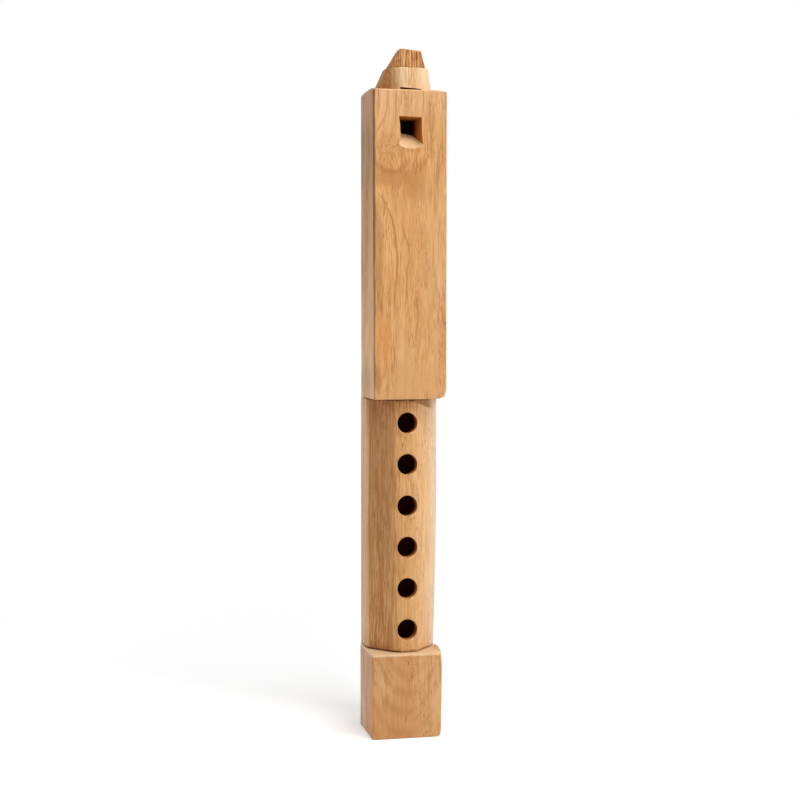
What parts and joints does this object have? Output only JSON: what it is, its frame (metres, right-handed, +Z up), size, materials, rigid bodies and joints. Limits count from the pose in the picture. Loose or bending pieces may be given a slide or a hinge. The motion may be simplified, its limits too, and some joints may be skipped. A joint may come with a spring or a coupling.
{
  "type": "tarka",
  "caption": "Square wooden duct flute: whittled plug tip, pale collar, long head with a sound window, faceted finger-hole barrel and a square foot that draw apart along the bore.",
  "frame": {"origin": "on the bore axis at the foot's bottom face, under the centre of the part's box", "axes": "+Z up along the bore from the foot to the mouthpiece tip; the window and finger holes face -Y; +X is the right side seen from the front"},
  "size_m": [0.0358, 0.0358, 0.3393],
  "materials": {
    "plug_wood": "dark red-brown streaked hardwood, whittled, oiled",
    "collar_wood": "pale cream wood, whittled facets, satin",
    "head_wood": "honey-tan wood, fine grain, satin oil",
    "barrel_wood": "honey-tan wood, planed facets, satin oil",
    "foot_wood": "redder tan wood, flecked grain, satin oil"
  },
  "bodies": {
    "foot": {"foot_block": "foot_wood"},
    "barrel": {"finger_hole_barrel": "barrel_wood"},
    "head": {"head_block": "head_wood", "mouthpiece_collar": "collar_wood"},
    "plug": {"windway_plug": "plug_wood"}
  },
  "joints": [
    {"name": "barrel_draw", "type": "slide", "parent": "foot", "child": "barrel", "axis": [0, 0, 1], "range_m": [0, 0.016]},
    {"name": "head_draw", "type": "slide", "parent": "barrel", "child": "head", "axis": [0, 0, 1], "range_m": [0, 0.019]},
    {"name": "plug_draw", "type": "slide", "parent": "head", "child": "plug", "axis": [0, 0, 1], "range_m": [0, 0.025]}
  ]
}
